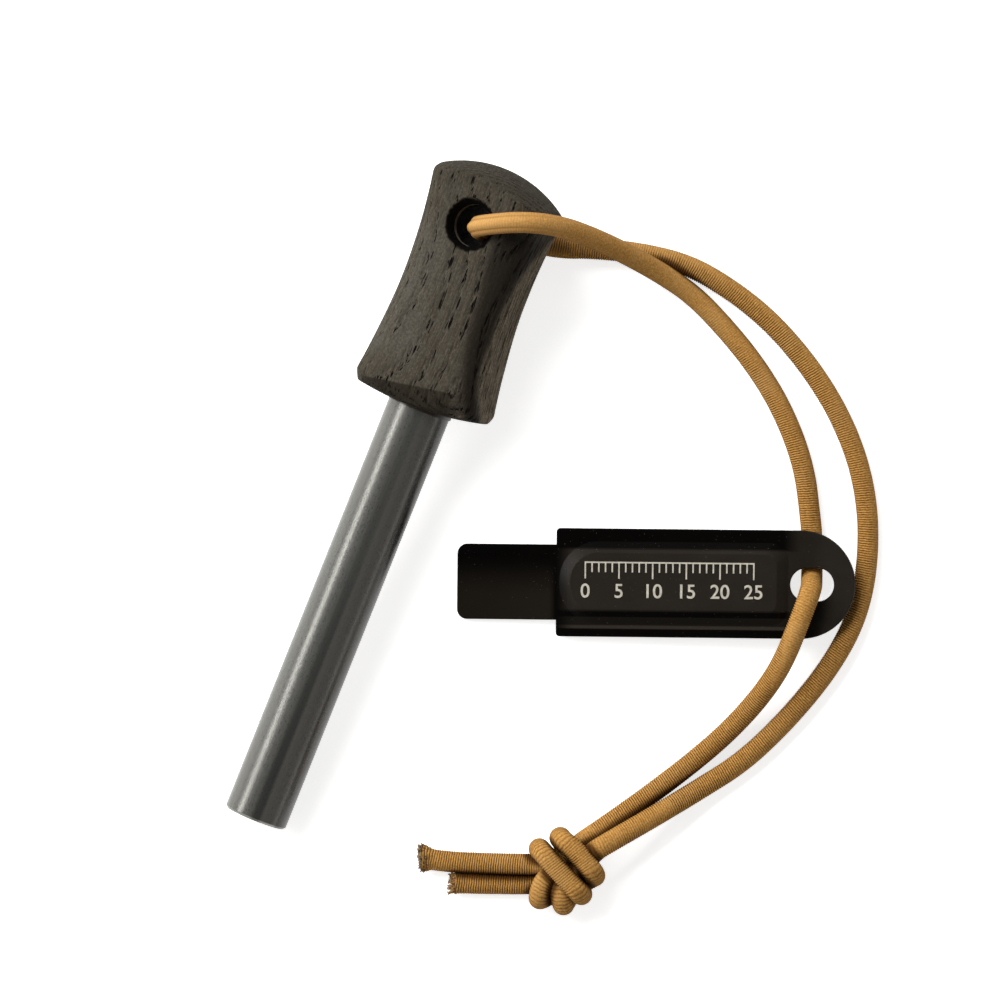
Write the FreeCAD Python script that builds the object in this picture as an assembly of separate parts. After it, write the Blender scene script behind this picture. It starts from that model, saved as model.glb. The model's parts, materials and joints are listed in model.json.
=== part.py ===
import FreeCAD, Part
import math
import os

# Ferro rod fire starter, in millimetres.
# A ferrocerium rod is glued into a charred wooden handle. A stamped steel striker is threaded on
# a loop of elastic cord that goes through the handle and ends in an overhand knot.
# The working origin is on the table under the rod's tip. +Y runs along the rod towards the
# handle, +X to the cord's side, and +Z up from the table that everything lies on. The last
# section moves every piece so that the origin is under the middle of handle, rod and striker.

Vector = FreeCAD.Vector
Placement = FreeCAD.Placement
Rotation = FreeCAD.Rotation

# Rod
rod_radius = 4.75
rod_exposed_length = 65.5
rod_edge_bevel = 0.35
seat_relief = 0.20

# Bond between rod and handle
bond_wall = 0.40
bond_floor = 0.40
bond_clearance = 0.01

# Handle
handle_length = 37.7
waist_width = 17.4
waist_height = 18.5
bottom_flare = 3.15
bottom_flare_power_share = 1.6
top_flare = 3.1
top_flare_power_share = 2.2
handle_depth_share = 0.80
handle_corner_radius = 4.5
section_height_shares = (0.0, 0.10, 0.21, 0.33, 0.45, 0.57, 0.69, 0.80, 0.90, 1.0)
dome_radius = 17.5
dome_offset = 1.0
dome_edge_radius = 1.4
dome_edge_share = 0.87
end_crown_radius = 47.0
bevel_end_width = 19.2
bevel_end_depth = 14.4
bevel_width_gain = 7.0
bevel_depth_gain = 10.8
bevel_reach = 12.0
bevel_corner_radius = 6.2
handle_roll = 20.0
handle_yaw = 1.3
resting_share = 0.85

# Cross hole for the cord, and the rod's seat, which ends below it
cross_hole_radius = 3.1
cross_hole_from_top = 9.2
cross_hole_height = handle_length - cross_hole_from_top
countersink_radius = 3.8
countersink_depth = 0.8
wall_under_cross_hole = 3.4
seat_length = cross_hole_height - cross_hole_radius - wall_under_cross_hole

# Cord
cord_diameter = 3.2
cord_core_diameter = 2.2
core_clearance = 0.03
arc_share = 0.45

# Striker
plate_thickness = 1.2
body_width = 16.1
body_length = 44.4
tongue_length = 14.7
tongue_width = 11.2
tongue_corner_radius = 1.5
tongue_root = 4.5
shoulder_radius = 0.6
slot_length = 6.5
slot_width = 4.9
slot_from_end = 6.4
slot_rim_radius = 0.2
plate_rim_radius = 0.25
panel_length = 34.0
panel_width = 12.2
panel_gap_to_slot_centre = 3.5
panel_rise = 0.8
panel_slope = 1.7
panel_round_radius = 5.8
panel_corner_radius = 2.6
pocket_inset = 0.7
striker_cord_gap = 0.25

# Places on the table, measured from the rod's tip
striker_slot_place = (63.7, 62.8)
striker_heading = 21.3

# How far cutting shapes run past what they cut, and the shortest edge that is drawn
overrun = 5.0
shortest_edge = 0.001


def rounded_wire(corners, height, plane):
    """A closed wire of lines and arcs at a height. A corner is (u, v, radius)."""
    def lift(u, v):
        if plane == "XY":
            return Vector(u, v, height)
        return Vector(u, height, v)

    ends = []
    for index, (u, v, radius) in enumerate(corners):
        before = corners[index - 1]
        after = corners[(index + 1) % len(corners)]
        here = Vector(u, v, 0)
        back = (Vector(before[0], before[1], 0) - here).normalize()
        ahead = (Vector(after[0], after[1], 0) - here).normalize()
        half_angle = back.getAngle(ahead) / 2
        trim = radius / math.tan(half_angle)
        bisector = (back + ahead).normalize()
        centre = here + bisector * (radius / math.sin(half_angle))
        first = here + back * trim
        last = here + ahead * trim
        middle = centre - bisector * radius
        ends.append((first, middle, last))
    edges = []
    for index, (first, middle, last) in enumerate(ends):
        arc = Part.Arc(lift(first.x, first.y), lift(middle.x, middle.y), lift(last.x, last.y))
        edges.append(arc.toShape())
        following = ends[(index + 1) % len(ends)][0]
        if (following - last).Length > shortest_edge:
            start = lift(last.x, last.y)
            edges.append(Part.LineSegment(start, lift(following.x, following.y)).toShape())
    return Part.Wire(edges)


def rounded_rectangle(width, depth, radius, height, plane):
    half_width = width / 2
    half_depth = depth / 2
    corners = [
        (half_width, half_depth, radius),
        (-half_width, half_depth, radius),
        (-half_width, -half_depth, radius),
        (half_width, -half_depth, radius),
    ]
    return rounded_wire(corners, height, plane)


def placed(shape, placement):
    copy = shape.copy()
    copy.Placement = placement.multiply(copy.Placement)
    return copy


def one_solid(shape):
    """The single solid that a boolean leaves."""
    clean = shape.removeSplitter()
    return clean.Solids[0]


# Poses of rod and handle. The rod's tip and the handle's lower flare rest on the table.

def handle_width(height):
    if height < waist_height:
        reach_share = (waist_height - height) / waist_height
        return waist_width + bottom_flare * reach_share ** bottom_flare_power_share
    reach_share = (height - waist_height) / (handle_length - waist_height)
    return waist_width + top_flare * reach_share ** top_flare_power_share


def handle_depth(height):
    return handle_width(height) * handle_depth_share


def half_height_when_rolled(height):
    """How far the rolled section reaches below the handle's axis."""
    roll = math.radians(handle_roll)
    side = handle_width(height) / 2 - handle_corner_radius
    front = handle_depth(height) / 2 - handle_corner_radius
    return side * math.sin(roll) + front * math.cos(roll) + handle_corner_radius


bevel_rise = (handle_width(0) - bevel_end_width) / bevel_width_gain * bevel_reach
resting_height = bevel_rise * resting_share
rod_pitch = math.degrees(
    math.asin(
        (half_height_when_rolled(resting_height) - rod_radius)
        / (rod_exposed_length + resting_height)
    )
)
rod_place = Placement(
    Vector(0, 0, rod_radius * math.cos(math.radians(rod_pitch))),
    Rotation(Vector(1, 0, 0), rod_pitch),
)
handle_turn = Rotation(Vector(0, 0, 1), handle_yaw).multiply(Rotation(Vector(0, 1, 0), -handle_roll))
handle_place = rod_place.multiply(Placement(Vector(0, rod_exposed_length, 0), handle_turn))


# Rod: the exposed length, then the seat that the bond holds.

def make_rod():
    along = Vector(0, 1, 0)
    seat_radius = rod_radius - seat_relief
    exposed = Part.makeCylinder(rod_radius, rod_exposed_length, Vector(0, 0, 0), along)
    tip_edges = [e for e in exposed.Edges if abs(e.CenterOfMass.y) < rod_edge_bevel / 2 and e.Closed]
    exposed = exposed.makeChamfer(rod_edge_bevel, tip_edges)
    seat = Part.makeCylinder(seat_radius, seat_length, Vector(0, rod_exposed_length, 0), along)
    end_edges = [
        e for e in seat.Edges
        if abs(e.CenterOfMass.y - rod_exposed_length - seat_length) < rod_edge_bevel / 2 and e.Closed
    ]
    seat = seat.makeChamfer(rod_edge_bevel, end_edges)
    return placed(one_solid(exposed.fuse(seat)), rod_place)


# Bond: a cup of set glue round the rod's seat.

socket_radius = rod_radius - seat_relief + bond_clearance + bond_wall + bond_clearance
socket_depth = seat_length + bond_clearance + bond_floor + bond_clearance


def make_bond():
    along = Vector(0, 1, 0)
    outer_radius = socket_radius - bond_clearance
    inner_radius = outer_radius - bond_wall
    mouth = Vector(0, rod_exposed_length + bond_clearance, 0)
    cup = Part.makeCylinder(outer_radius, socket_depth - bond_clearance * 2, mouth, along)
    bore = Part.makeCylinder(inner_radius, seat_length, mouth, along)
    return placed(one_solid(cup.cut(bore)), rod_place)


# Handle: a waisted rounded rectangle in section, with a domed top and a bevelled lower end.

def make_envelope():
    """The turned limits of the handle: the lower end's crown and the dome."""
    rim_y = end_crown_radius - math.sqrt(end_crown_radius ** 2 - dome_radius ** 2)
    dome_centre_y = handle_length - dome_radius
    crown_mid_x = dome_radius / 2
    crown_mid_y = end_crown_radius - math.sqrt(end_crown_radius ** 2 - crown_mid_x ** 2)
    diagonal = dome_radius * math.sqrt(2) / 2
    foot = Vector(0, 0, 0)
    rim = Vector(dome_radius, rim_y, 0)
    shoulder = Vector(dome_radius, dome_centre_y, 0)
    apex = Vector(0, handle_length, 0)
    crown = Part.Arc(foot, Vector(crown_mid_x, crown_mid_y, 0), rim).toShape()
    wall = Part.LineSegment(rim, shoulder).toShape()
    dome = Part.Arc(shoulder, Vector(diagonal, dome_centre_y + diagonal, 0), apex).toShape()
    axis = Part.LineSegment(apex, foot).toShape()
    face = Part.Face(Part.Wire([crown, wall, dome, axis]))
    envelope = face.revolve(Vector(0, 0, 0), Vector(0, 1, 0), 360)
    envelope.translate(Vector(-dome_offset, 0, 0))
    return envelope


def make_bevel_limit():
    """A frustum that trims the lower end, and reaches higher at the corners."""
    lower = rounded_rectangle(bevel_end_width, bevel_end_depth, bevel_corner_radius, 0, "XZ")
    upper = rounded_rectangle(
        bevel_end_width + bevel_width_gain,
        bevel_end_depth + bevel_depth_gain,
        bevel_corner_radius,
        bevel_reach,
        "XZ",
    )
    frustum = Part.makeLoft([lower, upper], True, True)
    block_side = bevel_end_width + bevel_width_gain
    block = Part.makeBox(
        block_side,
        handle_length + overrun - bevel_reach,
        block_side,
        Vector(-block_side / 2, bevel_reach, -block_side / 2),
    )
    return frustum.fuse(block)


def make_cross_hole():
    surface = handle_depth(cross_hole_height) / 2
    reach = surface + overrun
    start = Vector(0, cross_hole_height, -reach)
    hole = Part.makeCylinder(cross_hole_radius, reach * 2, start, Vector(0, 0, 1))
    flare = (countersink_radius - cross_hole_radius) / countersink_depth
    top_radius = cross_hole_radius + flare * (countersink_depth + overrun)
    for side in (1, -1):
        cone = Part.makeCone(
            cross_hole_radius,
            top_radius,
            countersink_depth + overrun,
            Vector(0, cross_hole_height, side * (surface - countersink_depth)),
            Vector(0, 0, side),
        )
        hole = hole.fuse(cone)
    return hole


def make_handle():
    sections = []
    for share in section_height_shares:
        height = share * handle_length
        sections.append(
            rounded_rectangle(
                handle_width(height), handle_depth(height), handle_corner_radius, height, "XZ"
            )
        )
    body = Part.makeLoft(sections, True, False)
    body = body.common(make_envelope())
    dome_start = handle_length * dome_edge_share
    dome_edges = [e for e in body.Edges if e.CenterOfMass.y > dome_start]
    body = body.makeFillet(dome_edge_radius, dome_edges)
    body = body.common(make_bevel_limit())
    body = body.cut(make_cross_hole())
    body = placed(body, handle_place)
    socket = Part.makeCylinder(
        socket_radius,
        socket_depth + overrun,
        Vector(0, rod_exposed_length - overrun, 0),
        Vector(0, 1, 0),
    )
    return one_solid(body.cut(placed(socket, rod_place)))


# Striker, drawn with the middle of its slot at the origin, the tongue towards -X.

striker_reach = body_length - slot_from_end + tongue_length
slot_lift = cord_diameter + striker_cord_gap * 2
striker_tilt = math.degrees(math.asin(slot_lift / striker_reach))
slot_centre_height = (
    striker_reach * math.sin(math.radians(striker_tilt))
    + plate_thickness / 2 * math.cos(math.radians(striker_tilt))
)
striker_turn = Rotation(Vector(0, 0, 1), striker_heading).multiply(
    Rotation(Vector(0, 1, 0), -striker_tilt)
)
striker_place = Placement(
    Vector(striker_slot_place[0], striker_slot_place[1], slot_centre_height), striker_turn
)


def panel_corners(inset):
    """The raised panel's outline, round at the tongue's end and squarer near the slot."""
    right = -panel_gap_to_slot_centre - inset
    left = -panel_gap_to_slot_centre - panel_length + inset
    side = panel_width / 2 - inset
    round_radius = panel_round_radius - inset
    corner_radius = panel_corner_radius - inset / 2
    return [
        (right, side, corner_radius),
        (left, side, round_radius),
        (left, -side, round_radius),
        (right, -side, corner_radius),
    ]


def panel_block(outer_inset, base, rise):
    """A tapered block between the panel's foot and its flat top."""
    foot = rounded_wire(panel_corners(outer_inset), base, "XY")
    top = rounded_wire(panel_corners(outer_inset + panel_slope), base + rise, "XY")
    return Part.makeLoft([foot, top], True, True)


def make_striker():
    half_width = body_width / 2
    half_tongue = tongue_width / 2
    shoulder_x = slot_from_end - body_length
    end_x = shoulder_x - tongue_length
    bottom = -plate_thickness / 2
    body = Part.Face(
        rounded_wire(
            [
                (slot_from_end, half_width, half_width),
                (shoulder_x, half_width, shoulder_radius),
                (shoulder_x, -half_width, shoulder_radius),
                (slot_from_end, -half_width, half_width),
            ],
            bottom,
            "XY",
        )
    ).extrude(Vector(0, 0, plate_thickness))
    root_x = shoulder_x + tongue_root
    tongue = Part.Face(
        rounded_wire(
            [
                (root_x, half_tongue, tongue_corner_radius),
                (end_x, half_tongue, tongue_corner_radius),
                (end_x, -half_tongue, tongue_corner_radius),
                (root_x, -half_tongue, tongue_corner_radius),
            ],
            bottom,
            "XY",
        )
    ).extrude(Vector(0, 0, plate_thickness))
    plate = body.fuse(tongue).removeSplitter()
    rim = [e for e in plate.Edges if e.BoundBox.ZMin > 0]
    plate = plate.makeFillet(plate_rim_radius, rim)
    plate = plate.fuse(panel_block(0, -bottom, panel_rise))
    plate = plate.cut(panel_block(pocket_inset, bottom, panel_rise))
    slot_half = (slot_length - slot_width) / 2
    slot_radius = slot_width / 2
    slot_height = plate_thickness + overrun * 2
    slot = Part.makeBox(
        slot_half * 2, slot_width, slot_height, Vector(-slot_half, -slot_radius, -slot_height / 2)
    )
    for side in (1, -1):
        end = Part.makeCylinder(slot_radius, slot_height, Vector(side * slot_half, 0, -slot_height / 2))
        slot = slot.fuse(end)
    plate = plate.cut(slot.removeSplitter())
    slot_rim = [
        e for e in plate.Edges
        if abs(e.CenterOfMass.x) < slot_length / 2 + slot_rim_radius
        and abs(e.CenterOfMass.y) < slot_width / 2 + slot_rim_radius
        and abs(abs(e.CenterOfMass.z) + bottom) < slot_rim_radius / 2
    ]
    plate = plate.makeFillet(slot_rim_radius, slot_rim)
    return placed(one_solid(plate), striker_place)


# Elastic cord. Its routes are lists of points chosen from the photograph, in the working
# frame. Straight runs between them are joined by tangent arcs.

cord_radius = cord_diameter / 2
core_radius = cord_core_diameter / 2
sheath_bore = core_radius + core_clearance

front_route = [
    (0.03, 93.76, 11.85),
    (-2.4, 93.27, 18.5),
    (-1.1, 93.9, 21.7),
    (3.9, 96.4, 23.65),
    (9.2, 97.9, 21.2),
    (14.3, 98.2, 15.1),
    (19.5, 98.0, 8.9),
    (25.2, 97.4, 4.0),
    (31.3, 96.2, 1.75),
    (37.5, 93.4, 1.65),
    (43.3, 90.2, 1.65),
    (48.6, 86.4, 1.65),
    (53.1, 82.1, 1.65),
    (56.6, 77.7, 1.65),
    (59.2, 73.0, 1.65),
    (61.2, 69.2, 1.65),
    (63.44, 63.47, 1.65),
    (63.8, 62.1, 7.0),
    (63.95, 56.3, 7.3),
    (63.95, 50.0, 5.8),
    (62.6, 43.9, 3.4),
    (59.9, 37.0, 1.8),
    (56.2, 30.2, 1.65),
    (52.2, 23.6, 1.9),
    (47.9, 17.0, 2.7),
    (46.0, 14.2, 3.0),
]
back_route = [
    (0.04, 93.76, 11.82),
    (3.17, 94.39, 3.24),
    (5.4, 94.6, 1.65),
    (9.6, 94.9, 1.65),
    (15.6, 97.2, 1.65),
    (22.3, 99.3, 1.65),
    (29.2, 100.4, 1.65),
    (35.9, 99.3, 1.65),
    (42.6, 97.1, 1.65),
    (48.9, 94.1, 1.65),
    (54.7, 90.4, 1.65),
    (59.6, 86.3, 1.65),
    (63.8, 81.6, 1.65),
    (67.1, 76.4, 1.65),
    (69.5, 70.8, 1.65),
    (71.1, 65.0, 1.65),
    (71.6, 59.2, 1.65),
    (70.8, 53.0, 1.65),
    (69.1, 46.8, 1.65),
    (66.7, 40.4, 1.65),
    (63.7, 34.2, 1.65),
    (59.4, 28.3, 2.0),
    (54.9, 22.4, 4.1),
    (50.3, 16.6, 5.6),
    (48.6, 14.4, 6.0),
]
long_tail_route = [
    (43.6, 10.2, 3.6),
    (40.3, 8.75, 3.1),
    (36.8, 7.4, 2.7),
    (32.6, 5.85, 2.35),
    (28.4, 4.35, 2.1),
    (24.9, 3.2, 1.75),
]
short_tail_route = [
    (43.2, 6.5, 1.9),
    (40.3, 5.15, 1.7),
    (37.0, 3.85, 1.65),
    (33.5, 2.6, 1.65),
    (30.1, 1.5, 1.65),
]


def cord_path(route):
    """Straight runs and tangent arcs through a route, and the arcs' radii."""
    points = [Vector(*place) for place in route]
    edges = []
    radii = []
    start = points[0]
    for before, here, after in zip(points, points[1:], points[2:]):
        back = before - here
        ahead = after - here
        turn = math.pi - back.getAngle(ahead)
        trim = arc_share * min(back.Length, ahead.Length)
        radius = trim / math.tan(turn / 2)
        back.normalize()
        ahead.normalize()
        first = here + back * trim
        last = here + ahead * trim
        bisector = (back + ahead).normalize()
        middle = here + bisector * (radius / math.cos(turn / 2) - radius)
        edges.append(Part.LineSegment(start, first).toShape())
        edges.append(Part.Arc(first, middle, last).toShape())
        radii.append(radius)
        start = last
    edges.append(Part.LineSegment(start, points[-1]).toShape())
    return Part.Wire(edges), radii


def tube(path, radius):
    start = path.Edges[0].firstVertex().Point
    heading = path.Edges[0].tangentAt(path.Edges[0].FirstParameter)
    ring = Part.Wire(Part.makeCircle(radius, start, heading))
    return path.makePipeShell([ring], True, False).Solids[0]


def make_stretch(name, route):
    """A stretch of cord: its woven sheath, and the rubber core inside it."""
    path, radii = cord_path(route)
    sheath = tube(path, cord_radius).cut(tube(path, sheath_bore)).Solids[0]
    core = tube(path, core_radius)
    expected = math.pi * core_radius ** 2 * path.Length
    listed = " ".join(f"{radius:.1f}" for radius in radii)
    print(f"{name}: length {path.Length:.1f} mm, radii {listed}")
    print(f"{name}: core volume over section times length {core.Volume / expected:.4f}")
    return sheath, core


# Overhand knot in the doubled cord: two strands side by side go round the knot as a pair of
# wraps, and a second pair of turns bulges out below them. Each turn is a ring that stands on
# the table, with a straight top and bottom. Its centreline's half run and half height are
# shares of the cord's diameter.

wrap_height_share = 0.84
bulge_height_share = 0.58
knot_turn_places = [(46.6, 12.7), (44.8, 9.6), (43.04, 7.29), (45.9, 7.15)]
knot_turn_headings = [-23.5, -28.0, -75.6, -65.3]
knot_turn_run_shares = [0.40, 0.58, 0.16, 0.16]
knot_turn_height_shares = [wrap_height_share, wrap_height_share, bulge_height_share, bulge_height_share]
knot_middle_radius_share = 0.90
knot_middle_places = [(47.0, 13.2), (44.2, 7.6)]


def knot_ring(place, heading, run_share, height_share):
    half_run = run_share * cord_diameter
    half_height = height_share * cord_diameter
    along = Vector(math.cos(math.radians(heading)), math.sin(math.radians(heading)), 0)
    up = Vector(0, 0, 1)
    axis = along.cross(up)
    middle = Vector(place[0], place[1], half_height + cord_radius)
    ring = None
    for side in (1, -1):
        pivot = middle + along * (half_run * side)
        section_place = pivot + up * (half_height * side)
        disc = Part.Face(Part.Wire(Part.makeCircle(cord_radius, section_place, along)))
        bend = disc.revolve(pivot, axis, -180)
        run = disc.extrude(along * (-half_run * 2 * side))
        piece = bend.fuse(run)
        ring = piece if ring is None else ring.fuse(piece)
    return ring.removeSplitter()


def make_knot():
    middle_radius = knot_middle_radius_share * cord_diameter
    middle_height = wrap_height_share * cord_diameter + cord_radius
    start, end = [Vector(x, y, middle_height) for x, y in knot_middle_places]
    knot = Part.makeCylinder(middle_radius, (end - start).Length, start, end - start)
    for place in (start, end):
        knot = knot.fuse(Part.makeSphere(middle_radius, place))
    turns = zip(knot_turn_places, knot_turn_headings, knot_turn_run_shares, knot_turn_height_shares)
    for place, heading, run_share, height_share in turns:
        knot = knot.fuse(knot_ring(place, heading, run_share, height_share))
    return one_solid(knot)


# Build, move to the final origin and write one file for each piece.

def make_pieces():
    front_sheath, front_core = make_stretch("front strand", front_route)
    back_sheath, back_core = make_stretch("back strand", back_route)
    long_sheath, long_core = make_stretch("long tail", long_tail_route)
    short_sheath, short_core = make_stretch("short tail", short_tail_route)
    return {
        "handle": make_handle(),
        "ferro_rod": make_rod(),
        "epoxy_bond": make_bond(),
        "striker": make_striker(),
        "cord_front_sheath": front_sheath,
        "cord_front_core": front_core,
        "cord_back_sheath": back_sheath,
        "cord_back_core": back_core,
        "cord_knot": make_knot(),
        "tail_long_sheath": long_sheath,
        "tail_long_core": long_core,
        "tail_short_sheath": short_sheath,
        "tail_short_core": short_core,
    }


def main():
    pieces = make_pieces()
    rigid = Part.Compound([pieces[name] for name in ("handle", "ferro_rod", "striker")])
    box = rigid.optimalBoundingBox(False, False)
    shift = Vector(-(box.XMin + box.XMax) / 2, -(box.YMin + box.YMax) / 2, 0)
    os.makedirs("parts", exist_ok=True)
    for name, piece in pieces.items():
        piece.translate(shift)
        piece.exportStep(f"parts/{name}.step")
        extent = piece.optimalBoundingBox(False, False)
        print(f"{name}: valid {piece.isValid()}, volume {piece.Volume:.2f} mm3, lowest {extent.ZMin:.3f}")
    tip = rod_place.Base + shift
    along = rod_place.Rotation.multVec(Vector(0, 1, 0))
    slot = striker_place.Base + shift
    normal = striker_turn.multVec(Vector(0, 0, 1))
    crossing = Vector(*front_route[0]) + shift
    for label, value in (
        ("shift", shift),
        ("rod tip centre", tip),
        ("rod direction", along),
        ("slot centre", slot),
        ("striker normal", normal),
        ("cord in the cross hole", crossing),
    ):
        print(f"{label}: {value.x:.5f} {value.y:.5f} {value.z:.5f}")


main()
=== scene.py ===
import json
import math

import bmesh
import bpy
from mathutils import Matrix, Vector


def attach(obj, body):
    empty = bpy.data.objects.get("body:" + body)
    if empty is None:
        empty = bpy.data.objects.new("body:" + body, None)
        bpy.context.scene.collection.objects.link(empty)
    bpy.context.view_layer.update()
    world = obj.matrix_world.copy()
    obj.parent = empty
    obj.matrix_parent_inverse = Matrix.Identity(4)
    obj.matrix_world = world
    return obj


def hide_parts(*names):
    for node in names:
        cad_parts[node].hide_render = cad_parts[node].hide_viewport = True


# Ferro rod fire starter: a charred oak handle with a ferrocerium rod, and a black steel striker
# on a loop of ribbed elastic cord with an overhand knot. Everything lies on a pale floor.
# A number times mm is a length in metres. Other lengths are in millimetres, in a piece's own frame.

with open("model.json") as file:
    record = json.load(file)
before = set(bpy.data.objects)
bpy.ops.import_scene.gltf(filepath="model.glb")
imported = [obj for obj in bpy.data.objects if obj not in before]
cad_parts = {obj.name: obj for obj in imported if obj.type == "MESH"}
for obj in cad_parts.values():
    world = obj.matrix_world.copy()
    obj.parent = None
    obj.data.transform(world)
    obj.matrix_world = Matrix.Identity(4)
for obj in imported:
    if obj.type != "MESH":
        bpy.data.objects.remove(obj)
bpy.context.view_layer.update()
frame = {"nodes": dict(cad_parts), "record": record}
mm = 0.001

# Cord
cord_diameter = 3.2 * mm
cord_radius = cord_diameter / 2
rib_pitch = 0.36 * mm
rib_depth = 0.12 * mm
rib_wander = 0.32
rib_starts = 2
least_rib_on_strand = 0.58
least_rib_in_knot = 0.72
rings_per_rib = 5
cord_sides = 32
route_resolution = 24
taut_length_front = 26 * mm
taut_length_back = 0.001 * mm
crease_depth = 0.27 * mm
crease_count = 5
flare_length = 1.8 * mm
long_tail_tilt = 0.26
short_tail_tilt = -0.08
side_off_the_window = (0.37, -0.93, 0.0)

# Handle, in its own frame: x across its face, y from the rod's mouth to the dome, z out of its face
handle_yaw = math.radians(1.3)
handle_roll = math.radians(-20)
cross_hole_height = 28.5
countersink_radius = 3.8
ring_spacing = 0.8
pith_x = -7.0
pith_z = -24.0
pore_width = 0.36
pore_length = 2.3
grain_slant = -0.10
waist_height = 16.5
waist_curve = 0.018
face_at_hole = 7.26
facet_height = 3.2
facet_slant = 0.17
facet_slope = 0.36
pore_depth = 0.16 * mm
ring_depth = 0.05 * mm
grain_depth = 0.035 * mm
burn_depth = 0.09 * mm
carving_voxel = 0.147 * mm
carving_squeeze = 0.34
weld_distance = 0.001 * mm

# Striker, in its own frame: x along the plate, y across it, z out of its face
striker_heading = math.radians(21.3)
plate_thickness = 1.2 * mm
panel_rise = 0.8 * mm
panel_length = 34.0
panel_width = 12.2
panel_gap_to_slot_centre = 3.5

# Scale printed on the striker's panel
scale_length = 25
scale_start = -33.6
scale_line = 2.9
scale_half_line = 0.11
scale_step = 5
long_tick = 2.3
short_tick = 1.35
scale_number_height = 2.1
scale_number_size = scale_number_height * 1.4
scale_number_gap = 3.0
scale_number_swell = 0.03 * mm
print_thickness = 0.02 * mm

# Camera and picture
picture_width = 148.4 * mm
picture_centre = (-13.4 * mm, 5.9 * mm)
picture_turn = math.radians(21.876)
lens_length = 600
sensor_width = 36

# Floor and light
floor_radius = 4.0
floor_glow = 0.76
daylight = (1.0, 0.99, 0.97)
room_light = (1.0, 0.97, 0.93)
left_of_picture = (-0.937, 0.349, 0.0)


# Places that the frame gives

joints = {joint["name"]: joint for joint in frame["record"]["behaviour"]["joints"]}
mounts = {mount["name"]: mount for mount in frame["record"]["mounts"]}
hole_middle = Vector(joints["lanyard_swing"]["pos_m"])
rod_axis = -Vector(mounts["rod"]["axis"]).normalized()
rod_half_length = mounts["rod"]["dims"]["length_mm"] / 2 * mm
rod_mouth = Vector(mounts["rod"]["pos_m"]) + rod_axis * rod_half_length
rod_radius = mounts["rod"]["dims"]["r_mm"]
rod_pitch = math.asin(rod_axis.z)
rod_place = Matrix.Translation(rod_mouth) @ Matrix.Rotation(rod_pitch, 4, "X")
handle_place = rod_place @ Matrix.Rotation(handle_yaw, 4, "Z") @ Matrix.Rotation(handle_roll, 4, "Y")
slot_middle = Vector(joints["striker_swivel"]["pos_m"])
striker_up = Vector(joints["striker_swivel"]["axis"]).normalized()
to_round_end = Vector((math.cos(striker_heading), math.sin(striker_heading), 0))
striker_across = striker_up.cross(to_round_end).normalized()
striker_along = striker_across.cross(striker_up)
striker_turn = Matrix((striker_along, striker_across, striker_up)).transposed().to_4x4()
striker_place = Matrix.Translation(slot_middle) @ striker_turn


# Node trees

def node(tree, kind, inputs=(), **settings):
    """Adds a node. inputs gives each socket, by name or number, a value or another socket."""
    made = tree.nodes.new(kind)
    for name, value in settings.items():
        setattr(made, name, value)
    for key, value in dict(inputs).items():
        if isinstance(value, bpy.types.NodeSocket):
            tree.links.new(value, made.inputs[key])
        else:
            made.inputs[key].default_value = value
    return made


def tree_of(*values):
    """The tree that holds the sockets among some values."""
    return next(value.id_data for value in values if isinstance(value, bpy.types.NodeSocket))


def maths(operation, *values):
    return node(tree_of(*values), "ShaderNodeMath", enumerate(values), operation=operation).outputs[0]


def times(first, second):
    return maths("MULTIPLY", first, second)


def plus(first, second):
    return maths("ADD", first, second)


def minus(first, second):
    return maths("SUBTRACT", first, second)


def ratio(first, second):
    return maths("DIVIDE", first, second)


def vector_maths(operation, *values, output=0):
    made = node(tree_of(*values), "ShaderNodeVectorMath", enumerate(values), operation=operation)
    return made.outputs[output]


def dot(first, second):
    return vector_maths("DOT_PRODUCT", first, second, output=1)


def scaled(direction, length):
    """A direction times a length."""
    sockets = {0: direction, "Scale": length}
    return node(tree_of(direction, length), "ShaderNodeVectorMath", sockets, operation="SCALE").outputs[0]


def smooth_step(value, low, high, to_low=0.0, to_high=1.0):
    """Goes smoothly from to_low at low to to_high at high."""
    sockets = {"Value": value, "From Min": low, "From Max": high, "To Min": to_low, "To Max": to_high}
    return node(tree_of(value), "ShaderNodeMapRange", sockets, interpolation_type="SMOOTHSTEP").outputs[0]


def between(value, start, end, edge):
    """1 where value lies between start and end, with edges that wide."""
    rising = smooth_step(value, start - edge, start)
    falling = smooth_step(value, end, end + edge, 1.0, 0.0)
    return times(rising, falling)


def noise(place, scale, detail=2.0, roughness=0.5):
    """Noise with that many cells to a unit of place: a metre, unless place is stretched."""
    sockets = {"Vector": place, "Scale": scale, "Detail": detail, "Roughness": roughness}
    return node(tree_of(place), "ShaderNodeTexNoise", sockets).outputs[0]


def own_millimetres(position, place):
    """A piece's own x, y and z in millimetres, from a position in metres."""
    from_origin = vector_maths("SUBTRACT", position, place.to_translation())
    axes = place.to_3x3().transposed()
    return [ratio(dot(from_origin, axis), mm) for axis in axes]


def stretched(at, across, along):
    """A pattern's coordinates, with cells that wide across a piece and that long along it."""
    x, y, z = at
    sockets = {0: ratio(x, across), 1: ratio(y, along), 2: ratio(z, across)}
    return node(tree_of(x), "ShaderNodeCombineXYZ", sockets).outputs[0]


def long_noise(at, across, along, detail=2.0, roughness=0.5):
    """Noise with cells that wide across a piece and that long along it."""
    return noise(stretched(at, across, along), 1.0, detail, roughness)


def distance_from(first, second, centre_first, centre_second):
    """How far a point lies from an axis, from its two coordinates across that axis."""
    one = minus(first, centre_first)
    other = minus(second, centre_second)
    squares = plus(times(one, one), times(other, other))
    return maths("SQRT", squares)


# Materials

def rgb(red, green, blue):
    return (red, green, blue, 1.0)


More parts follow.
